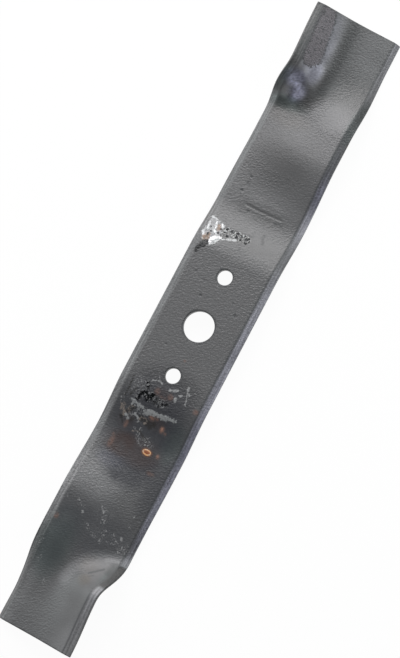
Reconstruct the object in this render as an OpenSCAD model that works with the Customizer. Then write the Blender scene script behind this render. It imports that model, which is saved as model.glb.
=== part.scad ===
// Rotary mower blade: one bar of flat steel, bevelled, punched and pressed to shape.
// The origin is on the axis of the centre bore, halfway through the hub, and the arms lie along X.
// Both arms are alike, half a turn apart. Seen from above the blade turns clockwise.

/* [Bar] */
// Length over both ends, between the leading corners
blade_length = 460; // [380:1:540]
// Width of the flat bar, measured along its bends
bar_width = 63.7; // [50:0.1:80]
// Thickness of the bar
bar_thickness = 4; // [3.2:0.1:6]
// Width of the bevel along each long edge
bevel_width = 5; // [3.5:0.1:9]
// How far each bevel lowers the top face at the edge
bevel_drop = 2; // [0.5:0.1:2.4]

/* [Hub] */
// Length of the flat hub
hub_length = 96; // [80:0.5:130]
// Diameter of the centre bore
centre_bore = 21; // [12:0.1:30]
// Diameter of each bolt hole
bolt_hole = 10.5; // [6:0.1:14]
// Distance between the two bolt holes
bolt_spacing = 73.4; // [50:0.1:90]
// Rounding that the punch leaves round the top of each hole
punch_roll = 0.4; // [0.1:0.05:1]

/* [Step] */
// Length over which an arm steps down from the hub
step_length = 38; // [25:1:60]
// Depth of the step
step_drop = 6.2; // [0:0.1:15]

/* [Twist] */
// Length over which an arm turns its leading edge up
twist_length = 50; // [25:1:60]
// Angle of the turned arm
twist_angle = 8.1; // [0:0.1:15]
// How far the middle of the arm rises with the turn
twist_rise = 3.8; // [0:0.1:8]

/* [Tip] */
// Length of the formed tip, back from the end
tip_reach = 76.5; // [55:0.5:95]
// Width of the round fold between the nose and the wing
fold_width = 29; // [12:1:40]
// Length over which the nose, the leading half, turns down
nose_bend = 58.5; // [35:0.5:80]
// Angle of the turned-down nose
nose_angle = 17.4; // [0:0.1:25]
// Length of the wing, the trailing half, along the trailing edge, back from the end
wing_reach = 81.5; // [60:0.5:100]
// How much further out the wing starts in the middle of the bar than at the trailing edge
wing_lag = 11.2; // [0:0.1:20]
// Length over which the wing lifts
wing_bend = 33.5; // [25:0.5:50]
// Steepest angle of the wing
wing_angle = 36.5; // [0:0.5:40]
// Length over which the wing eases towards the end
wing_ease = 48; // [25:1:60]
// Angle of the wing at the end
wing_end_angle = 27.4; // [0:0.1:40]
// How far the middle of the tip rises
tip_rise = 3.4; // [0:0.1:10]
// How far the trailing corner lies behind the leading corner
corner_lead = 1.9; // [0:0.1:6]

/* [Cutting edge] */
// Length of the ground cutting edge, back from the end
grind_length = 55; // [20:1:90]
// Width of the ground strip
grind_width = 2.7; // [1:0.1:3.2]
// How far the grinding lowers the edge below the bevel
grind_drop = 0.9; // [0.1:0.1:1]

/* [Hidden] */
half_length = blade_length / 2;
hub_half = hub_length / 2;
step_end = hub_half + step_length;
tip_start = half_length - tip_reach;
half_thickness = bar_thickness / 2;
// The ground strip fades in over this length
grind_fade = 12;
// Clear height of the punches past both faces
punch_clear = 1;
hole_fn = 96;
// Number of sections along an arm
arm_steps = 42;
// Number of strips across the bar between its bevels, an even number
bar_strips = 12;
bar_inner = bar_width - 2 * bevel_width;
// Lines along the bar at which its section has points, from the leading edge
edge_lines = [0, grind_width];
widths = concat(
    edge_lines,
    [for (i = [0 : bar_strips]) bevel_width + i * bar_inner / bar_strips],
    [bar_width]
);
mid_index = len(edge_lines) + bar_strips / 2;
last = len(widths) - 1;
row = len(widths);

// Smooth change from 0 to 1
function ease(t) = let (c = max(0, min(1, t))) c * c * (3 - 2 * c);

// Share of each bend that is done at x along the arm
function stepped(x) = ease((x - hub_half) / step_length);
function twisted(x) = ease((x - step_end) / twist_length);

// Height of the middle of the bar
function mid_height(x) =
    -step_drop * stepped(x)
    + twist_rise * twisted(x)
    + tip_rise * ease((x - tip_start) / tip_reach);

// Slopes of the two halves of the bar at x, positive where the trailing side is the higher.
// The wing's slope also changes across the bar, at w from the leading edge.
function nose_slope(x) =
    -twist_angle * twisted(x)
    + (twist_angle + nose_angle) * ease((x - tip_start) / nose_bend);

function wing_slope(x, w) =
    let (start = half_length - wing_reach + wing_lag * 2 * (1 - w / bar_width))
    -twist_angle * twisted(x)
    + (twist_angle + wing_angle) * ease((x - start) / wing_bend)
    + (wing_end_angle - wing_angle) * ease(1 + (x - half_length) / wing_ease);

// Slope at w across the bar, counted from the leading edge
function slope(x, w) =
    let (share = ease(0.5 + (w - bar_width / 2) / fold_width))
    (1 - share) * nose_slope(x) + share * wing_slope(x, w);

function running_sum(steps) = [
    for (i = 0, total = 0; i <= len(steps); total = total + (i < len(steps) ? steps[i] : 0), i = i + 1) total
];

// Height of the top face above the middle of the bar
function top_height(x, w) =
    half_thickness
    - bevel_drop * max(0, 1 - min(w, bar_width - w) / bevel_width)
    - grind_drop * ease((x - half_length + grind_length) / grind_fade) * max(0, 1 - w / grind_width);

// Points across the bar at x: the top row from the leading edge to the trailing edge, then the bottom row
function section(x) =
    let (
        slopes = [for (w = widths) slope(x, w)],
        gaps = [for (i = [0 : last - 1]) widths[i + 1] - widths[i]],
        runs = running_sum([for (i = [0 : last - 1]) gaps[i] * (cos(slopes[i]) + cos(slopes[i + 1])) / 2]),
        rises = running_sum([for (i = [0 : last - 1]) gaps[i] * (sin(slopes[i]) + sin(slopes[i + 1])) / 2]),
        lean = corner_lead * ease((x - tip_start) / tip_reach),
        line = [for (i = [0 : last]) [
            x - lean * widths[i] / bar_width,
            runs[i] - runs[mid_index],
            rises[i] - rises[mid_index] + mid_height(x)
        ]],
        ups = [for (a = slopes) [0, -sin(a), cos(a)]]
    )
    concat(
        [for (i = [0 : last]) line[i] + ups[i] * top_height(x, widths[i])],
        [for (i = [0 : last]) line[i] - ups[i] * half_thickness]
    );

function quad(a, b, c, d) = [[a, b, c], [a, c, d]];

// Solid drawn through a list of sections
module loft(sections) {
    ring = 2 * row;
    end = len(sections) - 1;
    top = function (k, i) k * ring + i;
    bottom = function (k, i) k * ring + row + i;
    polyhedron(
        points = [for (s = sections) each s],
        faces = [
            for (k = [0 : end - 1]) each [
                for (i = [0 : last - 1]) each concat(
                    quad(top(k, i), top(k, i + 1), top(k + 1, i + 1), top(k + 1, i)),
                    quad(bottom(k, i), bottom(k + 1, i), bottom(k + 1, i + 1), bottom(k, i + 1))
                ),
                each quad(top(k, 0), top(k + 1, 0), bottom(k + 1, 0), bottom(k, 0)),
                each quad(top(k, last), bottom(k, last), bottom(k + 1, last), top(k + 1, last))
            ],
            for (i = [0 : last - 1]) each concat(
                quad(top(0, i), bottom(0, i), bottom(0, i + 1), top(0, i + 1)),
                quad(top(end, i), top(end, i + 1), bottom(end, i + 1), bottom(end, i))
            )
        ]
    );
}

// Flat hub: the bevelled bar as it comes from the mill
module hub() {
    edge = bar_width / 2;
    rotate([90, 0, 90])
        linear_extrude(hub_length, center = true)
            polygon([
                [-edge, -half_thickness],
                [edge, -half_thickness],
                [edge, half_thickness - bevel_drop],
                [edge - bevel_width, half_thickness],
                [bevel_width - edge, half_thickness],
                [-edge, half_thickness - bevel_drop]
            ]);
}

// One arm, from the end of the hub out along +X
module arm() {
    arm_length = half_length - hub_half;
    loft([for (k = [0 : arm_steps]) section(hub_half + k * arm_length / arm_steps)]);
}

// Punch for a hole, with the rounding at its top
module punch(d) {
    cylinder(d = d, h = bar_thickness + 2 * punch_clear, center = true, $fn = hole_fn);
    translate([0, 0, half_thickness - punch_roll])
        cylinder(d1 = d, d2 = d + 2 * (punch_roll + punch_clear), h = punch_roll + punch_clear, $fn = hole_fn);
}

module blade() {
    color("dimgray")
        difference() {
            union() {
                hub();
                arm();
                rotate([0, 0, 180]) arm();
            }
            punch(centre_bore);
            for (side = [-1, 1]) translate([side * bolt_spacing / 2, 0, 0]) punch(bolt_hole);
        }
}

blade();
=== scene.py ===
import math
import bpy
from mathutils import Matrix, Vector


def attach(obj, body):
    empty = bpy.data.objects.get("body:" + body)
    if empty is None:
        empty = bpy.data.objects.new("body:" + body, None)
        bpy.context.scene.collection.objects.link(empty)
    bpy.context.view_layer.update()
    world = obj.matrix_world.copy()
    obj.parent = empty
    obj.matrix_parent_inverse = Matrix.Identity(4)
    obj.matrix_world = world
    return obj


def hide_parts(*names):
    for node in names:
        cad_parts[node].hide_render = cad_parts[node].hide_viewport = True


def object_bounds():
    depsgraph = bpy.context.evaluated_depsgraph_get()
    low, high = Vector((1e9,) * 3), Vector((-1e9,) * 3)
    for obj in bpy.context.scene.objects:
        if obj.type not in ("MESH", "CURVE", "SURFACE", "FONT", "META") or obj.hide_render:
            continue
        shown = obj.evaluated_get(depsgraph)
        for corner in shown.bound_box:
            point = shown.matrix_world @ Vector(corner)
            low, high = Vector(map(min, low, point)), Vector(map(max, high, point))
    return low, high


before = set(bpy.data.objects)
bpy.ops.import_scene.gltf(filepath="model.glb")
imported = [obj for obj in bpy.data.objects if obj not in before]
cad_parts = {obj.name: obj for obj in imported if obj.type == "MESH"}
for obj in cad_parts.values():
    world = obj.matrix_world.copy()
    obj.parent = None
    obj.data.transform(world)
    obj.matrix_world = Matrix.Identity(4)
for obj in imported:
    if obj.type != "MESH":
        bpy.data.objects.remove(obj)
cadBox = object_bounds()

from types import SimpleNamespace

import bpy
import numpy as np
from mathutils import Matrix, Vector

mm = 0.001
print("frame loaded")


# A term is a node's output, so that node trees are written as sums and products

class Term:
    def __init__(self, tree, socket):
        self.tree = tree
        self.socket = socket

    def math(self, operation, *others):
        node = self.tree.nodes.new("ShaderNodeMath")
        node.operation = operation
        for socket, value in zip(node.inputs, (self, *others)):
            feed(self.tree, socket, value)
        return Term(self.tree, node.outputs[0])

    def __add__(self, other):
        return self.math("ADD", other)

    def __sub__(self, other):
        return self.math("SUBTRACT", other)

    def __mul__(self, other):
        return self.math("MULTIPLY", other)

    def __truediv__(self, other):
        return self.math("DIVIDE", other)


def feed(tree, socket, value):  # links a term, or sets a plain value
    if isinstance(value, Term):
        tree.links.new(value.socket, socket)
    else:
        socket.default_value = value


def place(tree, kind, inputs=(), output=0, **settings):  # adds a node and returns one of its outputs
    node = tree.nodes.new(kind)
    for name, value in settings.items():
        setattr(node, name, value)
    for name, value in dict(inputs).items():
        feed(tree, node.inputs[name], value)
    return Term(tree, node.outputs[output])


def smooth(term, low, high):  # rises smoothly from 0 to 1 between two places
    values = {"Value": term, "From Min": low, "From Max": high}
    return place(term.tree, "ShaderNodeMapRange", values, interpolation_type="SMOOTHSTEP")


def without(term, strength=1):  # what a mask leaves over
    return term * -strength + 1


def mixed(under, over, share):
    return without(share) * under + share * over


def sumOf(terms):
    total = terms[0]
    for term in terms[1:]:
        total = total + term
    return total


def eased(share):  # the smooth rise, for plain numbers
    share = np.clip(share, 0, 1)
    return share * share * (3 - 2 * share)


# Blade, first as a flat blank

bladeSizes = {  # millimetres, as in the part
    "length": 460,
    "width": 63.7,
    "thickness": 4,
    "bevelWidth": 5,
    "bevelDrop": 2,
    "centreBore": 21,
    "boltHole": 10.5,
    "boltSpacing": 73.4,
    "punchRoll": 0.4,
    "grindLength": 55,
    "grindWidth": 2.7,
    "grindDrop": 0.9,
    "grindFade": 12,
    "edgeRound": 0.25,
}

blankGrid = {  # cells of the sheet that is pressed
    "boltCells": 52,  # from the bore's middle to a bolt hole's middle
    "armCells": 264,  # from a bolt hole's block to the end
    "faceCells": 38,  # from the middle to a bevel
    "bevelCells": 4,  # across each part of a bevel
    "boreBlock": 20,  # half the square that is refilled round the bore
    "boltBlock": 10,
    "boreRings": 5,
    "boltRings": 3,
    "rollSteps": 4,
    "wallSteps": 3,
}


def mirrored(places):
    return np.concatenate([-places[:0:-1], places])


def gridLines(sizes, grid):
    halfWidth = sizes["width"] / 2
    cells = np.arange(grid["boltCells"] + grid["boltBlock"] + 1)
    near = cells * sizes["boltSpacing"] / 2 / grid["boltCells"]
    far = np.linspace(near[-1], sizes["length"] / 2 - sizes["edgeRound"], grid["armCells"] + 1)
    face = np.linspace(0, halfWidth - sizes["bevelWidth"], grid["faceCells"] + 1)
    bevel = np.linspace(face[-1], halfWidth - sizes["grindWidth"], grid["bevelCells"] + 1)
    edge = np.linspace(bevel[-1], halfWidth - sizes["edgeRound"], grid["bevelCells"] + 1)
    return mirrored(np.append(near, far[1:])), mirrored(np.concatenate([face, bevel[1:], edge[1:]]))


def squareLoop(ids):  # the border of a block of grid points, counter-clockwise
    return np.concatenate([ids[:-1, 0], ids[-1, :-1], ids[:0:-1, -1], ids[0, :0:-1]])


def quads(first, second):  # a strip of faces between two closed loops
    return np.stack([first, second, np.roll(second, -1), np.roll(first, -1)], 1)


def punchedSheet(columns, rows, holes):  # points, faces, outer loop and hole loops, seen from above
    ids = np.arange(len(columns) * len(rows)).reshape(len(columns), len(rows))
    points = [np.stack(np.meshgrid(columns, rows, indexing="ij"), -1).reshape(-1, 2)]
    kept = np.ones((len(columns) - 1, len(rows) - 1), bool)
    faces, loops, count = [], [], ids.size
    loopStart = 225  # degrees, the corner where a square's loop starts
    for column, row, block, rings, radius in holes:
        kept[column - block : column + block, row - block : row + block] = False
        loop = squareLoop(ids[column - block : column + block + 1, row - block : row + block + 1])
        border = points[0][loop]
        turn = np.radians(loopStart + 360 * np.arange(len(loop)) / len(loop))
        circle = np.stack([columns[column] + radius * np.cos(turn), rows[row] + radius * np.sin(turn)], 1)
        for ring in range(1, rings + 1):
            points.append(border + (circle - border) * ring / rings)
            inner = count + np.arange(len(loop))
            faces.append(quads(inner, loop))
            count += len(loop)
            loop = inner
        loops.append(loop)
    corners = [ids[:-1, :-1], ids[1:, :-1], ids[1:, 1:], ids[:-1, 1:]]
    faces.append(np.stack([corner[kept] for corner in corners], 1))
    return np.concatenate(points), np.concatenate(faces), squareLoop(ids), loops


def topHeight(x, y, sizes):  # of the bevelled and ground top face above the middle of the bar
    side = np.where(x < 0, -1, 1)
    lead = sizes["width"] / 2 + y * side  # from the leading edge
    edge = np.minimum(lead, sizes["width"] - lead)
    ground = eased((x * side - sizes["length"] / 2 + sizes["grindLength"]) / sizes["grindFade"])
    bevel = sizes["bevelDrop"] * np.clip(1 - edge / sizes["bevelWidth"], 0, 1)
    grind = sizes["grindDrop"] * ground * np.clip(1 - lead / sizes["grindWidth"], 0, 1)
    return sizes["thickness"] / 2 - bevel - grind


class Blank:  # gathers the points and faces of the flat sheet
    def __init__(self):
        self.points, self.faces, self.count = [], [], 0

    def add(self, flat, height):  # returns the new points' numbers
        height = np.broadcast_to(height, len(flat))
        self.points.append(np.column_stack([flat, height]))
        self.count += len(flat)
        return np.arange(self.count - len(flat), self.count)

    def wall(self, loop, flat, height, inwards=False):  # a strip from a loop to a new one, which it returns
        ring = self.add(flat, height)
        strip = quads(loop, ring)
        self.faces.extend((strip[:, ::-1] if inwards else strip).tolist())
        return ring

    def join(self, fine, coarse, inwards=False):  # three triangles for each edge of the coarse loop
        first, middle, last = fine[::2], fine[1::2], np.roll(fine[::2], -1)
        ahead = np.roll(coarse, -1)
        for corners in ((first, coarse, middle), (middle, coarse, ahead), (middle, ahead, last)):
            triangles = np.stack(corners, 1)
            self.faces.extend((triangles[:, ::-1] if inwards else triangles).tolist())


def makeBlank(sizes, grid):
    columns, rows = gridLines(sizes, grid)
    bore = grid["boreBlock"], grid["boreRings"], sizes["centreBore"] / 2
    bolt = grid["boltBlock"], grid["boltRings"], sizes["boltHole"] / 2
    holes = []  # column, row, half block, rings, radius
    for offset, hole in ((-grid["boltCells"], bolt), (0, bore), (grid["boltCells"], bolt)):
        holes.append((len(columns) // 2 + offset, len(rows) // 2, *hole))
    blank = Blank()
    low = -sizes["thickness"] / 2
    roll, rounding = sizes["punchRoll"], sizes["edgeRound"]

    upperHoles = [(*hole, radius + roll) for *hole, radius in holes]
    flat, faces, outer, loops = punchedSheet(columns, rows, upperHoles)
    top = blank.add(flat, topHeight(flat[:, 0], flat[:, 1], sizes))
    blank.faces.extend(faces.tolist())

    lowerHoles = [(*(cells // 2 for cells in hole), radius) for *hole, radius in holes]
    lowerFlat, faces, lowerOuter, lowerLoops = punchedSheet(columns[::2], rows[::2], lowerHoles)
    bottom = blank.add(lowerFlat, low)
    blank.faces.extend(bottom[faces[:, ::-1]].tolist())

    edge = flat[outer]  # the rounded outer wall
    outwards = np.stack([
        np.sign(edge[:, 0]) * (np.abs(edge[:, 0]) >= columns[-1]),
        np.sign(edge[:, 1]) * (np.abs(edge[:, 1]) >= rows[-1]),
    ], 1)
    rim = topHeight(edge[:, 0], edge[:, 1], sizes)
    bulge, fall = 0.7, 0.3  # shares of the rounding, halfway round it
    rounded = (
        (bulge, rim - fall * rounding),
        (1, rim - rounding),
        (1, low + rounding),
        (bulge, low + fall * rounding),
    )
    loop = top[outer]
    for share, height in rounded:
        loop = blank.wall(loop, edge + outwards * rounding * share, height)
    blank.join(loop, bottom[lowerOuter])

    for (column, row, *_, radius), upper, lower in zip(holes, loops, lowerLoops):  # the punched walls
        centre = np.array([columns[column], rows[row]])
        spokes = (flat[upper] - centre) / (radius + roll)
        loop = top[upper]
        for bend in np.linspace(0, math.pi / 2, grid["rollSteps"] + 1)[1:]:  # rolled at the top
            reach = radius + roll * (1 - math.sin(bend))
            height = -low - roll * (1 - math.cos(bend))
            loop = blank.wall(loop, centre + spokes * reach, height, inwards=True)
        for height in np.linspace(-low - roll, low + rounding, grid["wallSteps"] + 1)[1:]:
            loop = blank.wall(loop, centre + spokes * radius, height, inwards=True)
        blank.join(loop, bottom[lower], inwards=True)
    return np.concatenate(blank.points), blank.faces, len(top)


def blankMesh(points, faces):
    used = np.unique(np.concatenate([np.array(face) for face in faces]))
    number = np.full(len(points), -1)
    number[used] = np.arange(len(used))
    mesh = bpy.data.meshes.new("bladeBlank")
    mesh.from_pydata((points[used] * mm).tolist(), [], [number[face].tolist() for face in faces])
    mesh.polygons.foreach_set("use_smooth", np.ones(len(mesh.polygons), bool))
    return mesh, used


# The press

bladeBends = {  # millimetres and degrees, as in the part
    "hubLength": 96,
    "stepLength": 38,
    "stepDrop": 6.2,
    "twistLength": 50,
    "twistAngle": 8.1,
    "twistRise": 3.8,
    "tipReach": 76.5,
    "foldWidth": 29,
    "noseBend": 58.5,
    "noseAngle": 17.4,
    "wingReach": 81.5,
    "wingLag": 11.2,
    "wingBend": 33.5,
    "wingAngle": 36.5,
    "wingEase": 48,
    "wingEndAngle": 27.4,
    "tipRise": 3.37,  # a hair under the part's 3.4, whose facets lie inside the smooth bend
    "cornerLead": 1.9,
}
gaussPoints = (  # share of a stretch, and weight
    (0.06943, 0.17393),
    (0.33001, 0.32607),
    (0.66999, 0.32607),
    (0.93057, 0.17393),
)


def pressTree(values):  # bends the flat blank by the same rules as the part
    tree = bpy.data.node_groups.new("bladePress", "GeometryNodeTree")
    interface = tree.interface
    interface.new_socket("Blank", in_out="INPUT", socket_type="NodeSocketGeometry")
    sockets = {}
    for name in values:
        kind = "NodeSocketMaterial" if name == "finish" else "NodeSocketFloat"
        sockets[name] = interface.new_socket(name, in_out="INPUT", socket_type=kind).identifier
    interface.new_socket("Blade", in_out="OUTPUT", socket_type="NodeSocketGeometry")
    inputs = tree.nodes.new("NodeGroupInput")
    blank = Term(tree, inputs.outputs["Blank"])
    given = {name: Term(tree, inputs.outputs[name]) for name in values}

    def scaled(vector, factor):
        return place(tree, "ShaderNodeVectorMath", {"Vector": vector, "Scale": factor}, operation="SCALE")

    position = place(tree, "GeometryNodeInputPosition")
    parts = tree.nodes.new("ShaderNodeSeparateXYZ")
    feed(tree, parts.inputs[0], scaled(position, 1 / mm))
    x, y, height = (Term(tree, socket) for socket in parts.outputs)
    side = x.math("LESS_THAN", 0) * -2 + 1
    along, across = x * side, y * side  # across is 0 in the middle and negative to the leading edge

    halfLength = given["length"] * 0.5
    hubEnd = given["hubLength"] * 0.5
    stepEnd = hubEnd + given["stepLength"]
    tipStart = halfLength - given["tipReach"]
    stepped = smooth(along, hubEnd, stepEnd)
    twisted = smooth(along, stepEnd, stepEnd + given["twistLength"])
    tipped = smooth(along, tipStart, halfLength)
    middle = given["twistRise"] * twisted - given["stepDrop"] * stepped + given["tipRise"] * tipped

    twist = given["twistAngle"] * twisted
    noseTurn = smooth(along, tipStart, tipStart + given["noseBend"])
    nose = (given["twistAngle"] + given["noseAngle"]) * noseTurn - twist
    wingEnd = smooth(along, halfLength - given["wingEase"], halfLength)
    wingEased = (given["wingEndAngle"] - given["wingAngle"]) * wingEnd - twist
    foldEnd = given["foldWidth"] * 0.5

    def slopeAt(spot):  # in radians, at a place across the bar
        behind = spot / given["width"] * -2 + 1
        wingStart = halfLength - given["wingReach"] + given["wingLag"] * behind
        lifted = smooth(along, wingStart, wingStart + given["wingBend"])
        wing = (given["twistAngle"] + given["wingAngle"]) * lifted + wingEased
        return (nose + (wing - nose) * smooth(spot, foldEnd * -1, foldEnd)).math("RADIANS")

    inFold = across.math("MINIMUM", foldEnd).math("MAXIMUM", foldEnd * -1)
    beyond = across - inFold
    runs, rises = [], []
    for share, weight in gaussPoints:  # sums the slopes over the round fold and beyond it
        for spot, stretch in ((inFold * share, inFold), (inFold + beyond * share, beyond)):
            bend = slopeAt(spot)
            runs.append(stretch * weight * bend.math("COSINE"))
            rises.append(stretch * weight * bend.math("SINE"))
    run, rise = sumOf(runs), sumOf(rises)

    slope = slopeAt(across)
    lag = given["cornerLead"] * tipped * (across / given["width"] + 0.5)
    pressed = place(tree, "ShaderNodeCombineXYZ", {
        "X": (along - lag) * side,
        "Y": (run - height * slope.math("SINE")) * side,
        "Z": rise + middle + height * slope.math("COSINE"),
    })
    shape = place(tree, "GeometryNodeSetPosition", {"Geometry": blank, "Position": scaled(pressed, mm)})
    shape = place(tree, "GeometryNodeRealizeInstances", {"Geometry": shape})
    shape = place(tree, "GeometryNodeSetMaterial", {"Geometry": shape, "Material": given["finish"]})
    output = tree.nodes.new("NodeGroupOutput")
    feed(tree, output.inputs["Blade"], shape)
    return tree, sockets


def pressBlade(mesh, sizes, bends, finish):
    values = {name: float(sizes[name]) for name in ("length", "width")}
    values.update({name: float(value) for name, value in bends.items()})
    values["finish"] = finish
    tree, sockets = pressTree(values)
    blade = bpy.data.objects.new("pressedBlade", mesh)
    bpy.context.scene.collection.objects.link(blade)
    press = blade.modifiers.new("press", "NODES")
    press.node_group = tree
    for name, value in values.items():
        press[sockets[name]] = value
    depsgraph = bpy.context.evaluated_depsgraph_get()
    bent = blade.evaluated_get(depsgraph)
    pressed = bpy.data.meshes.new_from_object(bent, preserve_all_data_layers=True, depsgraph=depsgraph)
    blade.modifiers.clear()
    blade.data = pressed
    return blade


# Marks, in millimetres along and across the flat blank from the bore

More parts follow.
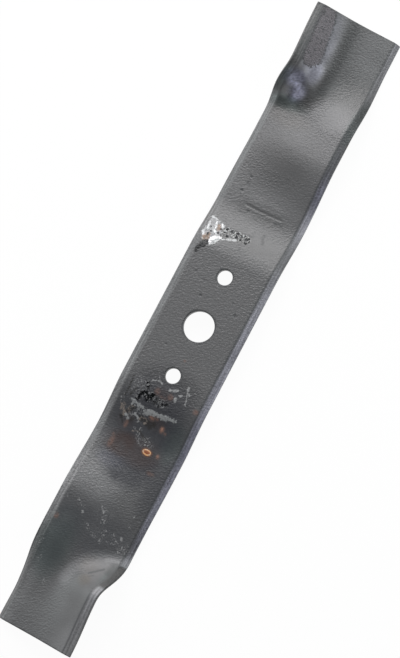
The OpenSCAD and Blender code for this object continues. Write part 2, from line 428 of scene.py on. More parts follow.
bladeMarks = {
    "chip": [  # corners
        (70, 29), (69.5, 23), (68.6, 18), (68, 13.5), (68.4, 7), (68.6, 1.5), (68, -2.5), (65, -3.8),
        (62.5, -2.2), (63, 2), (62, 5.5), (61, 9.5), (58.5, 14), (55.5, 15), (52.5, 17.5), (51.5, 20.5),
        (53.5, 26), (57.5, 28.5),
    ],
    "chipBright": [  # corners
        (70.4, 28.4), (70.2, 22.5), (68.6, 18.6), (65, 17.4), (61.4, 16.6), (58.4, 15), (54, 17),
        (52.4, 19.6), (53.4, 26), (57, 28.4), (64, 28),
    ],
    "chipFlakes": [  # path and width
        ([(64, 21.6), (68.4, 23.2)], 1.2), ([(69.7, 23.6), (70.1, 27.6)], 1.4),
        ([(60.8, 25.8), (66.4, 27.4)], 1.1), ([(60.4, 19.6), (62.4, 22.2)], 1.2),
        ([(65.6, 17), (68.8, 19.2)], 1.1), ([(56.6, 26.8), (58.4, 28.2)], 1.7),
    ],
    "chipDots": [  # place and radius
        ((62.2, 12), 1.1), ((66.8, 14.2), 1), ((64, 14.6), 0.8), ((66.5, 10.4), 1.3), ((67, 6.6), 0.9),
        ((64.4, 6.3), 1.2), ((63.8, 2.9), 0.9), ((66.4, 3.2), 1.1), ((67.4, 4.8), 0.7), ((63, -0.9), 1.1),
        ((65.8, -0.3), 1), ((65, -2.9), 0.7), ((67, -1.6), 0.9), ((67.6, 1.4), 0.7), ((61.6, 18.4), 0.9),
        ((64.6, 18), 0.8), ((60.6, 23.4), 0.8), ((63.4, 24.8), 0.7),
    ],
    "chipTail": [  # path and width
        ([(53, 22.4), (50, 23.6)], 4), ([(50.6, 24), (47.8, 25.4), (44.6, 26.2)], 2.4),
        ([(57, 24.4), (59, 24)], 1.2),
    ],
    "chipLip": [([(58.6, 14), (60.8, 9.6)], 0.6), ([(60.6, 10), (62.2, 5.4)], 1.4)],  # path and width
    "drop": [  # corners
        (51.4, 19.6), (53.4, 21.6), (57, 21.4), (59.2, 19), (60.6, 14.6), (57.6, 15.4), (54, 17),
    ],
    "gouge": [(87.6, 12), (87.4, -1), (87.9, -14)],  # path
    "crest": ((91.5, -1), (6, 21)),  # place and radii
    "smudges": [  # path and width
        ([(84.8, -11.3), (85, -15.7)], 1.8), ([(71.3, -9.6), (67.8, -11.6)], 2.2),
        ([(74, -9.7), (73, -9.8)], 1.6), ([(92.4, 18.4), (96, 19.2)], 1.6),
        ([(100, 16.6), (106, 17.6)], 1.3), ([(83.4, 8), (84.6, 8.4)], 1.2),
        ([(56, -0.8), (58.6, 0.4)], 0.9), ([(69, -1), (69.6, -3)], 1.6),
    ],
    "pits": [  # place and radius
        ((94.8, 18.7), 1.3), ((84, 8.2), 1), ((18.9, 8.8), 1.2), ((31.9, 19.2), 1), ((28.8, 11.5), 0.9),
        ((17, -18.2), 1.3), ((23.6, -13.4), 0.9), ((105.7, 17.1), 1), ((101, 17.5), 0.8), ((-20, 14), 0.8),
    ],
    "brown": [  # place, radii and depth
        ((55.4, 24.4), (3.6, 3.2), 1), ((64.6, 19.6), (3, 2), 0.6), ((66.4, 20.4), (1.6, 1.6), 0.7),
        ((58.2, 23.4), (1.8, 1.6), 0.6),
    ],
    "rust": [  # place, radii and depth
        ((-24.5, -2.7), (1.2, 1.6), 0.8), ((-50.4, 4.1), (3.4, 2.8), 0.6), ((-50, -5.6), (3, 2.6), 0.8),
        ((-52.6, -1), (1.6, 4), 0.3), ((-51.3, -25.1), (2.6, 3), 0.9), ((-67.8, -0.4), (2.4, 3), 1),
        ((-66.6, -3.6), (1.6, 2.4), 0.8), ((-71.4, -9.8), (3.6, 2.6), 1), ((-73, -12.8), (1.8, 1.6), 0.7),
        ((-78.5, 13.9), (4, 2), 0.8), ((-93, 17.4), (6, 2.4), 0.7), ((-88.4, 18.6), (1.6, 1), 0.8),
        ((-88.4, -15.4), (2.4, 2), 0.8), ((-100.6, -16.4), (2, 4), 0.5), ((-152.8, 25.5), (2.8, 2.4), 0.8),
    ],
    "rustBright": [  # place, radii and depth
        ((-71.2, -9.8), (1.9, 1.3), 1), ((-88.2, -15), (1.2, 1), 0.7), ((-67.6, 0.4), (1, 1.2), 0.4),
    ],
    "rustHaze": [  # place, radii and depth
        ((-89.5, 9), (10, 16), 1), ((-92, -4), (14, 19), 0.7), ((-69, -4), (8, 10), 0.5),
        ((-50.5, -1), (6, 10), 0.4), ((-76, 15), (9, 8), 0.5), ((-99.5, -15.5), (5, 6), 0.4),
        ((-95, 10.5), (7, 15), 1),
    ],
    "blister": ((-89.1, -7.4), (2.4, 3.4)),  # place and radii
    "blisterCore": ((-89, -7.4), (1.4, 3)),  # place and radii
    "soot": [  # path and width
        ([(-60.4, 14.2), (-59, 13.4)], 1.6), ([(-57.8, 13.4), (-55.4, 13), (-54.2, 9.6)], 1.6),
        ([(-57.6, 7.6), (-54, 5.6)], 2.8), ([(-56.6, 10.6), (-55.4, 8)], 1.1),
        ([(-51, 11.4), (-49.6, 10.8), (-48, 13)], 1.3), ([(-57.6, 2.6), (-56.8, 0.4)], 1.2),
        ([(-58.6, -0.6), (-57.6, -2.6)], 1), ([(-56.6, -2.8), (-55.6, -5.4)], 1.1),
        ([(-55.2, 2), (-54.4, -1.6)], 0.7),
    ],
    "grime": [  # path and width
        ([(-71, 8), (-71.5, 2), (-73, -2), (-71, -3)], 4), ([(-71, 16.6), (-66, 13.4)], 3),
        ([(-75, 19.4), (-78, 17.4)], 1.6), ([(-79, 4), (-84, -6)], 1.4), ([(-73.6, 11), (-75.6, 13)], 1.6),
        ([(-62, 23), (-55, 22.4), (-48, 23)], 1.2), ([(-60, 19.6), (-55, 17.6)], 1.4),
    ],
    "scribbles": [  # path and width
        ([(-71, 15.4), (-68, 16.8), (-66, 14.4)], 1.1), ([(-73.4, 7.2), (-70.6, 6), (-69.4, 3.4)], 1.3),
        ([(-73.6, 3.4), (-70.8, 1.6)], 1), ([(-73, 18), (-70.6, 20.6), (-68, 21.4)], 3.2),
        ([(-80.6, 7.6), (-79.4, 4.6)], 1),
    ],
    "residue": [  # path and width
        ([(-62.8, 17.4), (-63.4, 12.4), (-64, 8)], 1.8), ([(-65, 16), (-65.4, 10)], 0.9),
        ([(-65.8, 5.4), (-64.6, 1), (-64.6, -4), (-63.4, -9.6)], 3.4), ([(-63.4, -9), (-62.6, -15.4)], 2.2),
        ([(-74.8, 14.6), (-73.2, 16.6)], 1.7), ([(-71.6, 13.2), (-70, 11), (-71.4, 9), (-73.4, 6.6)], 1.1),
    ],
    "flecks": [  # path and width
        ([(-45.5, 10.2), (-43.4, 6)], 0.9), ([(-39, 8.4), (-41.9, 6.9)], 0.5),
        ([(-43.6, 5.6), (-45, 3.5)], 0.9), ([(-46.2, -2.8), (-44, -7.8)], 1.4),
        ([(-49.4, -8.8), (-51.2, -9.6)], 1.7), ([(-47, -10.2), (-45.6, -11.9)], 1),
        ([(-38.6, -13.1), (-40.6, -14)], 1.2), ([(-42.8, -15.4), (-43.6, -16.2)], 1.2),
        ([(-41, -13.6), (-50.7, -16.9)], 0.5), ([(-142.3, 11.5), (-143.2, 11.2)], 1.2),
        ([(-136.6, -1), (-137.6, -1.4)], 1), ([(-146.6, -19.5), (-147.2, -19.8)], 1.6),
    ],
    "faintFlecks": [  # path and width
        ([(-137.9, 25.1), (-136, 20.9)], 1.6), ([(-136.4, 18), (-139, 15), (-139.6, 12)], 2),
        ([(-148.1, 5.8), (-151, 2), (-153.2, -2.7)], 2), ([(-155.6, -7), (-147.4, -7.6)], 2.4),
        ([(-147, -13.6), (-150.6, -18.1)], 2), ([(-154.6, -22.5), (-150, -25), (-153, -27)], 3.4),
        ([(-129, -19.6), (-130.4, -20.4)], 1.6), ([(-136.2, -20.2), (-137.4, -21)], 1.6),
        ([(-134, 1), (-137, -3), (-143, -3.6)], 3), ([(-152, -16), (-153, -12)], 1.4),
        ([(-83.6, 2), (-80, 4)], 2), ([(-85.6, -1), (-84, -5), (-81, -4.4)], 3), ([(-79, 8), (-77, 3)], 2),
        ([(-83.4, -7), (-80.6, -2)], 2), ([(-66.4, 23), (-61, 24.6)], 2.2), ([(-51, 20), (-48.4, 17)], 2.6),
        ([(-57, 18), (-54, 20)], 2), ([(-55.6, 2.6), (-54.8, -3)], 1.6), ([(-59, 1), (-57.4, -5)], 1.6),
        ([(-170, 26.6), (-176, 26.8)], 2.2), ([(-181, 22.6), (-185, 23.4)], 2),
        ([(-192.6, 24.6), (-196, 25.4)], 1.8), ([(-194, 13.6), (-196, 12.4)], 1.8),
    ],
    "speckled": [  # place, radii and depth of pale fine speckle
        ((-84, -3), (5, 9), 0.8), ((-54, 17), (10, 10), 0.9), ((-152, -23), (6, 6), 0.6),
        ((-69, 10), (8, 12), 0.9), ((-138, -2), (9, 10), 0.4), ((-150, -8), (8, 16), 0.3),
        ((-56, -1), (4, 8), 1), ((-106, 6), (5, 14), 0.4), ((167.6, 22), (5, 5), 0.8),
        ((170, 15), (6, 6), 0.6), ((176, 23), (5, 8), 0.5), ((205, -14), (12, 12), 0.3),
    ],
    "stain": [  # place, radii and depth
        ((-72, 1), (50, 41), 0.94), ((-97, -4), (25, 30), 1), ((-106, -2), (15, 24), 0.95),
        ((-104, -26), (36, 16), 0.7), ((-152, 4), (28, 60), 0.6), ((-172, 20), (26, 20), 0.5),
        ((-111, 3), (7, 9), 0.85),
    ],
    "wornPatch": [  # corners
        (231, 27.6), (211.8, 27.2), (196, 26.8), (189.4, 25), (187.4, 22), (187.6, 18), (190.4, 14.4),
        (193.6, 12.4), (199, 12.8), (204, 13.8), (217, 14.6), (223, 16), (231, 19),
    ],
    "scratchesAndEdgeShade": [  # path and width
        ([(-176, -13.6), (-173, -17), (-169.4, -20.8)], 1.6), ([(-178.6, -15), (-176, -18)], 0.7),
        # the last path is painted shade along the edge of the lower arm
        ([(-166, -10.6), (-158, -18)], 0.4), ([(-228, 30.4), (-205, 31.4), (-165, 31.4)], 1),
    ],
    "paintedLightAndWear": [  # painted highlights and shade on the wing, step and arms, with some uneven wear: place, radii and how many times as light it is there
        ((-122, 16), (22, 26), 1.5), ((-100, 8), (13, 22), 0.7), ((-45, -3), (17, 33), 0.6),
        ((97, -4), (9, 40), 1.2), ((84, -2), (6, 30), 0.8), ((72, -4), (9, 44), 1.13),
        ((90, 23), (12, 10), 1.1), ((146, 2), (13, 18), 1.1), ((121, 6), (20, 34), 0.68),
        ((148, -6), (16, 34), 1.13), ((218, -20), (32, 22), 1.4), ((196, -20), (16, 18), 0.9),
        ((-224, -26), (18, 16), 1.35), ((-165, 24), (46, 14), 1.2), ((166, -16), (16, 24), 1.35),
        ((-188, 1), (16, 8), 1.15), ((185, 13), (13, 10), 2.7), ((198, 8.4), (19, 6.5), 1.7),
        ((217, 11.4), (24, 7), 1.55), ((169.6, 15), (7, 7), 3), ((175.6, 23), (5.4, 8), 3.6),
        ((173, 18), (4, 4), 1.6), ((167.6, 24), (6, 5), 1.9), ((184, 23), (7, 9), 2.1),
        ((174, 1), (10, 7), 0.72), ((200, 2), (40, 7), 0.62), ((164.5, 8), (9, 10), 0.46),
        ((160, 24), (5, 12), 0.6), ((-103, 10), (8, 16), 1.3), ((-190, 25), (48, 9), 1.2),
        ((-215, -26), (22, 9), 1.15), ((-192, -15), (16, 10), 0.86), ((-135, 24), (8, 10), 0.85),
        ((-116, -2), (7, 8), 1.15), ((224, 3), (12, 9), 0.82), ((-226, 27), (8, 8), 1.3),
        ((-131, -25), (14, 9), 0.84), ((-131, 18), (12, 12), 0.88), ((195, 25), (8, 6), 1.2),
        ((-180, 24), (50, 10), 1.06),
    ],
    "lightAndShadeStrokes": [  # painted highlights and shade along folds and in the scoop: path, reach and how many times as light it is there
        ([(171, 7), (175.6, 13), (181.6, 27)], 4.4, 0.74), ([(171.8, 18), (166.2, 19.6)], 2.4, 0.6),
        ([(-161.6, -28), (-163.4, -21), (-166, -13), (-170, -6.4), (-176, -2), (-186, 0.4)], 6, 1.5),
        ([(-154.6, -27), (-156.4, -20), (-159, -11.4), (-163, -3.4), (-169, 2.2), (-178, 6.4)], 5, 0.92),
        ([(-169, -25.6), (-164.6, -25)], 4, 0.5), ([(-160.6, -27.6), (-161.4, -23), (-163, -18)], 1.6, 1.5),
    ],
    "warm": [  # place, radii and depth
        ((-181, -14.5), (6, 8), 1), ((-171, -10), (9, 10), 0.5), ((152, 14), (10, 22), 0.4),
    ],
    "violetSheen": [  # painted violet sheen where the scoop, wing and a spot on the lower arm catch reflected light: place, radii and depth
        ((-103, 12), (9, 14), 0.4), ((170, 16), (10, 9), 1), ((177, 22), (9, 12), 1),
        ((186, 13), (14, 9), 0.5), ((204, 17), (40, 14), 0.4),
    ],
    "green": [  # a green cast, painted into shade in the scoop and at bevel folds, and on the stain: place, radii and depth
        ((-78, -21), (20, 10), 0.9), ((161, 18), (7, 20), 1), ((-170, 18), (34, 18), 1),
        ((-171, -29), (13, 9), 1), ((168, -30), (22, 6), 1), ((174, 31), (12, 6), 1),
    ],
    "pressed": [  # place, radii and depth of flattened ripples in the coating
        ((-205, -22), (60, 26), 1), ((-205, 2), (42, 13), 0.5), ((205, 20), (62, 20), 0.6),
        ((-172, -20), (16, 22), 1), ((-172, 14), (20, 12), 0.75), ((-150, 4), (26, 50), 0.6),
        ((-106, 4), (18, 40), 0.3), ((-80, 0), (28, 36), 0.9), ((0, 0), (64, 72), 0.45),
        ((66, -12), (14, 20), 1), ((95, 0), (100, 70), 0.4), ((121, 0), (10, 34), 0.9),
        ((136, 0), (34, 60), 0.75), ((166, -16), (20, 16), 0.9), ((174, 0), (24, 18), 0.45),
        ((-208, 14), (30, 24), 0.25),
    ],
    "leftBevelLightAndWear": [  # bevel wear with painted sheen and shade where the bevel turns: place along the blade and how many times as light the bevel is
        (-230, 1.2), (-215, 1.05), (-195, 1.12), (-163, 1.28), (-154, 1.65), (-136, 1.85), (-118, 1.68),
        (-100, 1.3), (-90, 1.18), (-73, 1.5), (-64, 1.48), (-46, 1.3), (0, 1.35), (40, 1.27), (90, 1.25),
        (115, 1.17), (134, 1.3), (158, 1.5), (162, 2.1), (167, 0.8), (177, 0.88), (180, 1.4), (184, 0.85),
        (190, 0.78), (206, 0.87), (230, 0.75),
    ],
    "rightBevelLightAndWear": [  # the same, for the right bevel: wear with painted sheen and shade
        (-230, 1.58), (-199, 1.75), (-190, 1.6), (-187, 1.8), (-181, 1.7), (-179, 0.18), (-163, 0.15),
        (-161.4, 1.9), (-157, 1.9), (-152, 1.45), (-127, 1.85), (-104, 2.05), (-91, 1.6), (-82, 1.32),
        (-64, 1.85), (-37, 2.3), (-18, 2.5), (-10, 1.85), (8, 2.45), (40, 2.35), (53, 1.85), (62, 1.05),
        (71, 1.1), (80, 1.9), (89, 2.85), (98, 2.4), (107, 1.4), (116, 1.45), (134, 0.8), (152, 0.9),
        (170, 0.25), (179, 0.28), (188, 1), (206, 1.8), (230, 2.3),
    ],
    "rightVioletSheen": [  # painted violet sheen of the right bevel: place along the blade and depth
        (-230, 0), (-185, 0.1), (-165, 0.1), (-140, 0.55), (-95, 0.68), (-65, 0.75), (-45, 0.5), (40, 0.34),
        (62, 0.15), (92, 0.3), (115, 0.75), (132, 0.28), (160, 0.1), (185, 0.1), (230, 0.2),
    ],
    "leftCrease": [(-230, 0.2), (180, 0.2), (190, 1), (230, 1)],  # place along the blade and depth
    "bevelStart": (0.3, -0.35),  # how much wider than pressed the left and right bevels look
    "underside": {"rustHaze": 0.3, "speckled": 0.3, "warm": 0.3},  # shares of wear that lie evenly there
    "bevelFade": (2.6, 2.2),  # height of a bevel's mask at the edge, and its fall across the bevel
    "creaseLine": (0.2, 0.7),  # how far past the bevel the dark crease lies, and half its width
    "endShade": 1.2,  # how far the painted shade along both ends reaches
    "strokeFade": 1.2,  # where a stroke ends, in its reaches
    "holeShade": (0.5, 0.7),  # how far the painted shade round the bore and a bolt hole goes past its wall
    "undersideBand": 0.4,  # how far up the walls the underside's wear goes
}

bladeRelief = {  # millimetres up or down, then the sharpness of a spot or the width of an edge
    "crest": (0.16, 1.3),
    "blister": (0.2, 1.6),
    "pits": (-0.35, 1.2),
    "chip": (-0.12, 0.8),
    "wornPatch": (-0.1, 1.5),
    "residue": (0.15, 0.7),
    "gouge": (-0.3, 1.1),
    "drop": (0.4, 3),
}

outlineMarks = "chip", "chipBright", "drop", "wornPatch"
pathMarks = (
    "chipFlakes", "chipTail", "chipLip", "soot", "grime", "scribbles", "residue", "flecks", "faintFlecks",
    "scratchesAndEdgeShade", "smudges",
)
dotMarks = "chipDots", "pits"
ovalMarks = "blister", "blisterCore"
spotMarks = (
    "brown", "rust", "rustBright", "rustHaze", "speckled", "stain", "violetSheen", "green", "warm", "pressed",
)
farOutside = -9  # as far outside a mark as is counted, in millimetres


def inSpot(flat, middle, radii):  # how far inside an ellipse, 1 in the middle and 0 at its rim
    return 1 - np.hypot((flat[:, 0] - middle[0]) / radii[0], (flat[:, 1] - middle[1]) / radii[1])


def softSpot(flat, middle, radii, sharpness=1.4):  # an ellipse that fades towards its rim
    return eased(sharpness * inSpot(flat, middle, radii))


def fromPath(flat, path):  # distance from a path of straight stretches
    nearest = np.full(len(flat), np.inf)
    for start, end in zip(np.array(path[:-1], float), np.array(path[1:], float)):
        stretch = end - start
        share = np.clip((flat - start) @ stretch / (stretch @ stretch), 0, 1)
        nearest = np.minimum(nearest, np.hypot(*(flat - start - share[:, None] * stretch).T))
    return nearest


def inOutline(flat, outline):  # how far inside a closed outline, negative outside
    corners = [*outline, outline[0]]
    crossings = np.zeros(len(flat), int)
    for (x0, y0), (x1, y1) in zip(corners[:-1], corners[1:]):
        if y0 != y1:
            spans = (flat[:, 1] < y0) != (flat[:, 1] < y1)
            crossings += spans & (flat[:, 0] < x0 + (flat[:, 1] - y0) * (x1 - x0) / (y1 - y0))
    return fromPath(flat, corners) * np.where(crossings % 2, 1, -1)


def alongBlade(flat, places):  # value between given places along the blade
    return np.interp(flat[:, 0], *zip(*places))


def markFields(points, marks, sizes):  # one value per point of the blank for each kind of mark
    flat, height = points[:, :2], points[:, 2]
    upper = height > marks["undersideBand"] - sizes["thickness"] / 2
    left = flat[:, 1] > 0
    fields = {}
    for name in outlineMarks:  # millimetres inside
        fields[name] = inOutline(flat, marks[name])
    for name in pathMarks:
        fields[name] = np.max([width / 2 - fromPath(flat, path) for path, width in marks[name]], 0)
    for name in dotMarks:
        depths = [radius * inSpot(flat, middle, (radius, radius)) for middle, radius in marks[name]]
        fields[name] = np.max(depths, 0)
    for name in ovalMarks:  # share of the way in
        fields[name] = inSpot(flat, *marks[name])
    for name in fields:
        fields[name] = np.where(upper, np.maximum(fields[name], farOutside), farOutside)

    for name in spotMarks:  # shares
        fields[name] = np.max([depth * softSpot(flat, *spot) for *spot, depth in marks[name]], 0)
    edge = sizes["width"] / 2 - np.abs(flat[:, 1]) - np.where(left, *marks["bevelStart"])
    edgeHeight, fall = marks["bevelFade"]
    bevel = eased(edgeHeight - edge / sizes["bevelWidth"] * fall)
    fields["bevel"] = bevel
    fields["stain"] = fields["stain"] * (1 - bevel)
    # painted violet sheen on the right bevel
    rightVioletSheen = np.where(left, 0, bevel * alongBlade(flat, marks["rightVioletSheen"]))
    fields["violetSheen"] = np.maximum(fields["violetSheen"], rightVioletSheen)
    past, halfWidth = marks["creaseLine"]
    creaseDepth = np.where(left, alongBlade(flat, marks["leftCrease"]), 1)
    crease = creaseDepth * np.exp(-(((edge - sizes["bevelWidth"] - past) / halfWidth) ** 2))
    fromEnd = sizes["length"] / 2 - np.abs(flat[:, 0])
    # painted shade darkens both ends
    fields["crease"] = np.maximum(crease, eased(marks["endShade"] - fromEnd))
    for name in (*spotMarks, "crease", "bevel"):
        fields[name] = np.where(upper, fields[name], marks["underside"].get(name, 0))

    # painted light and shade, with some uneven wear, as a factor on the paint
    paintedLightAndWear = np.ones(len(flat))
    for *spot, lighter in marks["paintedLightAndWear"]:
        paintedLightAndWear *= 1 + (lighter - 1) * softSpot(flat, *spot)
    # painted highlight and shade in strips
    for path, reach, lighter in marks["lightAndShadeStrokes"]:
        paintedLightAndWear *= 1 + (lighter - 1) * eased(marks["strokeFade"] - fromPath(flat, path) / reach)
    # bevel wear, with painted sheen and shade where the bevel turns
    bevelLightAndWear = np.where(left, alongBlade(flat, marks["leftBevelLightAndWear"]), alongBlade(flat, marks["rightBevelLightAndWear"]))
    fields["paintedLightAndWear"] = np.where(upper, paintedLightAndWear + (bevelLightAndWear - paintedLightAndWear) * bevel, 1)
    # painted shade round the bore and the bolt holes
    boreShade, boltShade = marks["holeShade"]
    fromBore = np.hypot(flat[:, 0], flat[:, 1])
    fromBolt = np.hypot(np.abs(flat[:, 0]) - sizes["boltSpacing"] / 2, flat[:, 1])
    inHole = (fromBore < sizes["centreBore"] / 2 + boreShade) | (fromBolt < sizes["boltHole"] / 2 + boltShade)
    fields["bore"] = inHole.astype(float)
    fields["underside"] = (~upper).astype(float)
    return fields


def dentTop(points, marks, relief, topCount):  # what is pressed, dug or stuck on the top face
    flat = points[:topCount, :2]
    lift = np.zeros(topCount)
    spots = [(name, marks[name]) for name in ("crest", "blister")]
    spots += [("pits", (middle, (radius, radius))) for middle, radius in marks["pits"]]
    for name, spot in spots:
        rise, sharpness = relief[name]
        lift += rise * softSpot(flat, *spot, sharpness)
    edges = [(name, inOutline(flat, marks[name])) for name in ("chip", "wornPatch")]
    edges += [("residue", width / 2 - fromPath(flat, path)) for path, width in marks["residue"]]
    for name, inside in edges:
        rise, reach = relief[name]
        lift += rise * eased(inside / reach + 0.5)
    rise, reach = relief["gouge"]
    lift += rise * np.clip(1 - fromPath(flat, marks["gouge"]) / reach, 0, 1)
    rise, reach = relief["drop"]
    lift += rise * np.sqrt(np.clip(inOutline(flat, marks["drop"]) / reach, 0, 1))
    points[:topCount, 2] += lift


# Coating

coating = {  # linear colours, sizes in millimetres and roughness
    "paint": (0.1012, 0.1007, 0.1038),
    "stain": (0.036, 0.037, 0.044),
    # a painted violet sheen
    "violetSheen": (0.98, 0.985, 1.27),
    # a green cast, painted into shade
    "green": (0.88, 1, 0.97),
    # for dark marks, and for painted shade along the ends, round the holes and along an edge
    "crease": (0.035, 0.037, 0.04),
    "haze": (0.034, 0.021, 0.02),
    "warm": (1.06, 0.99, 0.9),
    "rust": (0.17, 0.092, 0.07),
    "rustBright": (0.42, 0.22, 0.15),
    "brown": (0.2, 0.125, 0.08),
    "soot": (0.004, 0.005, 0.006),
    "grime": (0.016, 0.014, 0.012),
    "scribble": (0.2, 0.17, 0.15),
    "residue": (0.235, 0.24, 0.245),
    "fleck": (0.27, 0.27, 0.275),
    "bareMetal": (0.47, 0.48, 0.49),
    "bareShade": (0.22, 0.22, 0.23),
    "bareDull": (0.15, 0.15, 0.15),
    "wornPatch": (0.13, 0.118, 0.13),
    "drop": (0.52, 0.52, 0.53),
    "blisterEdge": (0.11, 0.05, 0.03),
    "blisterRing": (0.6, 0.32, 0.15),
    "blisterCore": (0.22, 0.065, 0.02),
    "blisterGlint": (0.6, 0.5, 0.4),
    "rims": {  # how far noise breaks the rim of a mark, and how soft the rim is
        "wornPatch": (3, 0.7),
        "smudges": (2, 0.8),
        "soot": (3.2, 0.2),
        "grime": (3, 0.5),
        "scribbles": (2.5, 0.4),
        "residue": (3, 0.4),
        "flecks": (1.6, 0.4),
        "faintFlecks": (1, 0.6),
        "chip": (1.6, 0.25),
        "chipBright": (2, 0.25),
        "chipFlakes": (1.6, 0.4),
        "chipTail": (3, 0.4),
        "chipLip": (1.2, 0.4),
        "drop": (1, 0.3),
        "scratchesAndEdgeShade": (0.8, 0.4),
    },
    "layers": [  # colour, where it lies and how strongly it covers, from the lowest up
        ("haze", "haze", 1),
        ("wornPatch", "wornPatch", 0.85),
        ("crease", "wornDark", 0.75),
        # a dark line inside each bevel, and painted shade along both ends
        ("crease", "crease", 0.6),
        ("crease", "smudges", 0.6),
        ("fleck", "speckle", 0.5),
        ("grime", "grime", 0.7),
        ("soot", "soot", 1),
        ("fleck", "sootCrumbs", 0.5),
        ("scribble", "scribbles", 0.9),
        ("residue", "residueCrumbs", 0.95),
        ("fleck", "faintFlecks", 0.75),
        ("fleck", "flecks", 0.85),
        ("chipped", "chipDull", 1),
        ("soot", "chipCracks", 0.65),
        ("scraped", "chipBright", 1),
        ("bareDull", "brightCracks", 0.6),
        ("brown", "brown", 1),
        ("bareMetal", "chipFlakes", 1),
        ("soot", "chipDots", 0.85),
        ("soot", "chipTail", 1),
        ("bareMetal", "chipLip", 0.8),
        ("drop", "drop", 1),
        ("rust", "rust", 0.75),
        ("rustBright", "rustBright", 0.7),
        # scratches, and painted shade along an edge
        ("crease", "scratchesAndEdgeShade", 0.8),
        ("blisterEdge", "blisterEdge", 0.8),
        ("glinting", "blisterRing", 1),
        ("blisterCore", "blisterCore", 1),
        # painted shade round the bore and the bolt holes
        ("crease", "bore", 0.8),
    ],
    "fineGrain": 1.1,
    "mediumGrain": 2.4,
    "broadGrain": 14,
    "crackGrain": 1.6,
    "curlGrain": 2.2,
    "lineDraw": 0.04,  # scale along the blade that draws grain out into lines
    "peelGrain": 1.15,
    "peelDepth": 0.33,
    "peelTurn": -62,  # degrees from the blade's length to the ripples
    "peelStretch": 1.5,
    "peelPressed": 0.85,  # how much of a ripple goes where it is flattened
    "paintRoughness": 0.38,
    "wearRoughness": {"stain": 0.5, "gritty": 0.8, "residue": 0.7, "drop": 0.25},  # from the lowest up
}


def noise(flat, grain, detail=2):  # from about -0.5 to 0.5
    values = {"Vector": flat, "Scale": 1 / grain, "Detail": detail}
    return place(flat.tree, "ShaderNodeTexNoise", values) - 0.5


def tinted(under, over, share, blend="MIX"):  # one colour over another
    tree = next(value.tree for value in (share, under, over) if isinstance(value, Term))
    node = tree.nodes.new("ShaderNodeMix")
    node.data_type, node.blend_type = "RGBA", blend
    feed(tree, node.inputs["Factor"], share)
    for name, value in (("A", under), ("B", over)):
        socket = [each for each in node.inputs if each.name == name and each.type == "RGBA"][0]
        feed(tree, socket, value if isinstance(value, Term) else (*value, 1))
    return Term(tree, [each for each in node.outputs if each.type == "RGBA"][0])


def grainTerms(flat, look):  # noise that breaks up paint and marks
    grain = SimpleNamespace()
    grain.fine = noise(flat, look["fineGrain"])
    grain.medium = noise(flat, look["mediumGrain"], 3)
    grain.broad = noise(flat, look["broadGrain"], 3)
    grain.mottle = grain.fine + grain.medium
    drawn = place(flat.tree, "ShaderNodeMapping", {"Vector": flat, "Scale": (look["lineDraw"], 1, 1)})
    grain.lined = noise(drawn, look["fineGrain"])
    turn = {"Rotation": (0, 0, math.radians(look["peelTurn"])), "Scale": (look["peelStretch"], 1, 1)}
    turned = place(flat.tree, "ShaderNodeMapping", {"Vector": flat, **turn}, vector_type="TEXTURE")
    grain.ripple = noise(turned, look["peelGrain"], 1)
    crackle = noise(flat, look["crackGrain"], 1).math("ABSOLUTE")
    grain.cracks = smooth(crackle, 0.08, 0.03)  # a net of dark lines
    grain.glints = smooth(crackle, 0.1, 0.2)  # crumbs between them
    grain.curls = smooth(noise(flat, look["curlGrain"], 1).math("ABSOLUTE"), 0.035, 0.012)
    grain.crumbs = smooth(grain.fine + grain.medium * 0.5, 0.02, 0.16)
    return grain


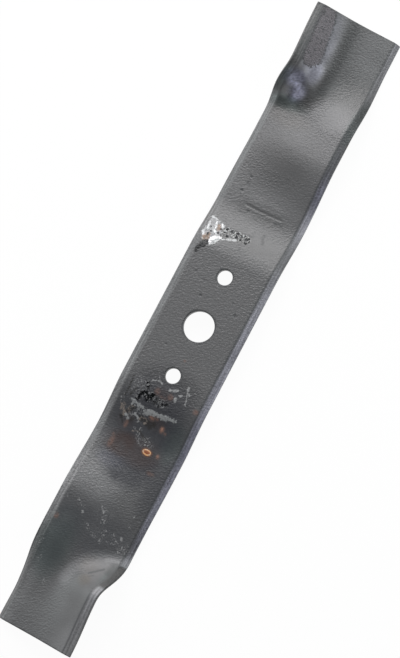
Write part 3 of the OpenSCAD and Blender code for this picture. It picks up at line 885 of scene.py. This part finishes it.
def wearMasks(field, grain, look):  # where each layer of wear, painted shade and painted sheen shows
    fine, medium, broad, mottle = grain.fine, grain.medium, grain.broad, grain.mottle
    mask = {name: field[name] for name in ("crease", "bore")}
    for name, (broken, soft) in look["rims"].items():  # crisp, with a broken rim
        mask[name] = smooth(field[name] + mottle * broken, -soft, soft)
    for name in ("soot", "grime", "chipTail"):  # thinned by crumbs
        mask[name] = mask[name] * without(grain.glints, 0.6)

    patches = field["underside"] * smooth(broad + medium * 0.3, -0.1, 0.2) * 0.7
    stain = (field["stain"] * (broad * 0.7 + medium * 0.6 + 1)).math("MINIMUM", 1)
    mask["stain"] = stain.math("MAXIMUM", patches)
    specks = field["underside"] * smooth(broad + medium, 0.2, 0.32)
    rust = field["rust"] * smooth(medium + fine * 0.6, -0.35, 0.1)
    mask["rust"] = rust.math("MAXIMUM", specks)
    mask["rustBright"] = field["rustBright"] * smooth(fine, -0.3, 0.1)
    mask["haze"] = field["rustHaze"] * smooth(broad + medium * 0.3, -0.4, 0.1)
    mask["brown"] = (field["brown"] * 1.6).math("MINIMUM", 1) * without(grain.cracks, 0.7)

    wornEdge = (field["wornPatch"] + mottle * look["rims"]["wornPatch"][0]).math("ABSOLUTE")
    wornRim = smooth(wornEdge, 1, 0.3) * smooth(mottle, -0.2, 0.1)
    wornPits = mask["wornPatch"] * smooth(mottle, 0.02, 0.25)
    mask["wornDark"] = wornRim.math("MAXIMUM", wornPits)
    mask["smudges"] = mask["smudges"].math("MAXIMUM", smooth(field["pits"], -0.3, 0.6))
    mask["speckle"] = field["speckled"] * grain.curls.math("MAXIMUM", grain.crumbs)
    mask["faintFlecks"] = mask["faintFlecks"] * grain.crumbs
    mask["scribbles"] = mask["scribbles"] * without(grain.cracks, 0.9)
    mask["residueCrumbs"] = mask["residue"] * smooth(mottle, -0.45, 0.1)
    mask["soot"] = mask["soot"].math("MAXIMUM", smooth(field["soot"], -1.8, -0.2) * grain.cracks * 0.8)
    mask["sootCrumbs"] = smooth(field["soot"], -1.6, -0.2) * grain.glints
    mask["gritty"] = mask["rust"].math("MAXIMUM", mask["soot"])

    dots = field["chipDots"] + fine * 1.6
    mask["chipDots"] = smooth(dots, -0.1, 0.3) * mask["chip"]
    mask["chipGlints"] = smooth(dots, -0.8, -0.3).math("MAXIMUM", 0.6) * grain.glints
    mask["chipDull"] = mask["chip"] * smooth(medium + fine * 0.5, -0.3, 0)
    mask["chipCracks"] = mask["chip"] * grain.cracks
    mask["brightCracks"] = mask["chipBright"] * grain.cracks
    mask["blisterEdge"] = smooth(field["blister"] + medium * 0.3, -0.35, 0)
    mask["blisterRing"] = smooth(field["blister"] + medium * 0.4, 0.05, 0.25)
    mask["blisterCore"] = smooth(field["blisterCore"] + medium * 0.5, 0.05, 0.35)
    return mask


def coatingColour(field, grain, mask, look):
    # painted light and shade, and streaks in the painted violet sheen, as a factor on the paint
    streaks = field["bevel"] * (grain.lined * 1.8 + grain.fine * 0.9) + field["violetSheen"] * grain.ripple * 1.5
    shade = field["paintedLightAndWear"] * (streaks + 1)
    paintedLightAndWear = place(shade.tree, "ShaderNodeCombineColor", {"Red": shade, "Green": shade, "Blue": shade})
    colour = tinted(look["paint"], paintedLightAndWear, 1, "MULTIPLY")
    colour = tinted(colour, look["stain"], mask["stain"])
    # tints: painted violet sheen, a green cast painted into shade, and a warm cast
    for name in ("violetSheen", "green", "warm"):
        colour = tinted(colour, look[name], field[name], "MULTIPLY")
    covers = {
        **look,
        "chipped": tinted(look["bareDull"], look["bareMetal"], mask["chipGlints"] * 0.9),
        "scraped": tinted(look["bareShade"], look["bareMetal"], smooth(grain.mottle, -0.1, 0.4) * 0.65),
        "glinting": tinted(look["blisterRing"], look["blisterGlint"], smooth(grain.fine, 0, 0.15)),
    }
    for cover, where, strength in look["layers"]:
        colour = tinted(colour, covers[cover], mask[where] * strength)
    return colour


def coatingRelief(field, grain, mask, look):  # millimetres
    peel = (grain.ripple + 0.5) * without(field["pressed"], look["peelPressed"]) * look["peelDepth"]
    pitted = mask["rust"] * grain.fine * 0.2 - mask["chipDots"] * 0.2 + mask["wornPatch"] * grain.fine * 0.5
    return peel + pitted + mask["chipBright"] * without(mask["drop"]) * grain.medium * 0.4


def wornCoating(look, names):
    finish = bpy.data.materials.new("wornCoating")
    finish.use_nodes = True
    tree = finish.node_tree
    shader = tree.nodes["Principled BSDF"]
    flat = place(tree, "ShaderNodeAttribute", output="Vector", attribute_name="blankPlace")
    field = {name: place(tree, "ShaderNodeAttribute", output="Fac", attribute_name=name) for name in names}
    grain = grainTerms(flat, look)
    mask = wearMasks(field, grain, look)

    feed(tree, shader.inputs["Base Color"], coatingColour(field, grain, mask, look))
    burnt = mask["soot"].math("MAXIMUM", mask["chipDots"]).math("MAXIMUM", mask["chipCracks"] * 0.6)
    feed(tree, shader.inputs["Metallic"], burnt * 0.9)
    rough = look["paintRoughness"]
    for where, roughness in look["wearRoughness"].items():
        rough = mixed(rough, roughness, mask[where])
    feed(tree, shader.inputs["Roughness"], rough)
    relief = coatingRelief(field, grain, mask, look)
    bump = place(tree, "ShaderNodeBump", {"Height": relief, "Distance": mm, "Strength": 1.0})
    feed(tree, shader.inputs["Normal"], bump)
    return finish


points, faces, topCount = makeBlank(bladeSizes, blankGrid)
fields = markFields(points, bladeMarks, bladeSizes)
flatPoints = points.copy()
dentTop(points, bladeMarks, bladeRelief, topCount)
mesh, used = blankMesh(points, faces)
blankPlace = mesh.attributes.new("blankPlace", "FLOAT_VECTOR", "POINT")
blankPlace.data.foreach_set("vector", flatPoints[used].ravel())
for name, values in fields.items():
    mesh.attributes.new(name, "FLOAT", "POINT").data.foreach_set("value", values[used])
print("blank marked:", len(fields), "kinds of mark")
blade = pressBlade(mesh, bladeSizes, bladeBends, wornCoating(coating, fields))
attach(blade, "root")
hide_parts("blade")
blade.data.calc_loop_triangles()
print("blade pressed:", len(blade.data.vertices), "points,", len(blade.data.loop_triangles), "triangles")


# Floor, lamps and camera

stageLook = {
    "floorReach": 12,  # metres
    "floorGap": 0.1,  # millimetres under the blade
    "floorColour": (0.9, 0.9, 0.9),
    "paperShare": 0.96,  # how far the floor is shown as plain white paper
    "ambient": 0.12,
    "backdrop": (0.5, 0.1),  # heights at which the seen white backdrop starts and is full
    "lampDistance": 1.6,  # metres
    "lamps": {  # degrees round and above the blade, metres across, watts and colour
        "keyBox": (44, 50, 0.7, 11.5, (1, 0.98, 1)),
        "keySide": (4, 50, 0.6, 6, (1, 1, 0.97)),
        "headLow": (7, 19, 1.0, 8.25, (1, 0.97, 0.96)),
        "headWide": (41, 19, 1.0, 8.25, (1, 0.97, 0.96)),
        "leftLow": (85, 20, 0.8, 5.5, (0.9, 1, 1)),
        "rightFill": (-50, 36, 0.7, 6, (0.93, 1, 1)),
        "topFill": (-25, 68, 0.6, 1, (0.7, 1, 1)),
    },
}


def seenRays(tree):  # 1 for what the camera, a reflection or a clear body shows
    path = tree.nodes.new("ShaderNodeLightPath")
    names = "Is Camera Ray", "Is Glossy Ray", "Is Transmission Ray"
    camera, glossy, clear = (Term(tree, path.outputs[name]) for name in names)
    return camera.math("MAXIMUM", glossy).math("MAXIMUM", clear)


def addFloor(look):
    reach, level = look["floorReach"], cadBox[0][2] - look["floorGap"] * mm
    corners = [(x * reach, y * reach, level) for x, y in ((-1, -1), (1, -1), (1, 1), (-1, 1))]
    mesh = bpy.data.meshes.new("floor")
    mesh.from_pydata(corners, [], [(0, 1, 2, 3)])
    floor = bpy.data.objects.new("floor", mesh)
    bpy.context.scene.collection.objects.link(floor)
    paper = bpy.data.materials.new("paper")
    paper.use_nodes = True
    tree = paper.node_tree
    tree.nodes.remove(tree.nodes["Principled BSDF"])
    lit = place(tree, "ShaderNodeBsdfDiffuse", {"Color": (*look["floorColour"], 1)})
    white = place(tree, "ShaderNodeEmission", {"Color": (1, 1, 1, 1), "Strength": 1.0})
    blend = tree.nodes.new("ShaderNodeMixShader")
    for socket, value in zip(blend.inputs, (seenRays(tree) * look["paperShare"], lit, white)):
        feed(tree, socket, value)
    tree.links.new(blend.outputs[0], tree.nodes["Material Output"].inputs["Surface"])
    mesh.materials.append(paper)


def addWorld(look):  # white at the horizon for what is seen, dim overhead
    world = bpy.data.worlds.new("studio")
    bpy.context.scene.world = world
    world.use_nodes = True
    tree = world.node_tree
    direction = place(tree, "ShaderNodeTexCoord", output="Generated")
    height = place(tree, "ShaderNodeSeparateXYZ", {"Vector": direction}, output="Z")
    backdrop = smooth(height, *look["backdrop"]) * seenRays(tree)
    background = tree.nodes["Background"]
    feed(tree, background.inputs["Strength"], mixed(look["ambient"], 1, backdrop))
    background.inputs["Color"].default_value = (1, 1, 1, 1)


def addLamps(look):
    for name, (turn, above, size, power, colour) in look["lamps"].items():
        turn, above = math.radians(turn), math.radians(above)
        level = math.cos(above)
        direction = Vector((math.cos(turn) * level, math.sin(turn) * level, math.sin(above)))
        lamp = bpy.data.lights.new(name, "AREA")
        lamp.size, lamp.energy, lamp.color = size, power, colour
        stand = bpy.data.objects.new(name, lamp)
        stand.location = direction * look["lampDistance"]
        stand.rotation_euler = direction.to_track_quat("Z", "Y").to_euler()
        bpy.context.scene.collection.objects.link(stand)


addFloor(stageLook)
addWorld(stageLook)
addLamps(stageLook)
print("stage lit:", len(stageLook["lamps"]), "lamps")

cameraSetup = {
    "towards": (-0.07657, -0.19939, 0.97692),  # from the bore to the camera
    "right": (0.46642, -0.87314, -0.14165),
    "distance": 1.3,  # metres
    "nearest": 0.01,
    "lens": 107.84,
    "shift": (0.00128, -0.00307),
}


def aimCamera(setup):
    camera = bpy.data.objects.new("camera", bpy.data.cameras.new("camera"))
    back = Vector(setup["towards"]).normalized()
    right = Vector(setup["right"])
    right = (right - back * right.dot(back)).normalized()
    turn = Matrix((right, back.cross(right), back)).transposed().to_4x4()
    camera.matrix_world = Matrix.Translation(back * setup["distance"]) @ turn
    camera.data.lens = setup["lens"]
    camera.data.shift_x, camera.data.shift_y = setup["shift"]
    camera.data.clip_start = setup["nearest"]
    bpy.context.scene.collection.objects.link(camera)
    bpy.context.scene.camera = camera


aimCamera(cameraSetup)
bpy.context.scene.view_settings.view_transform = "Standard"
print("camera aimed")
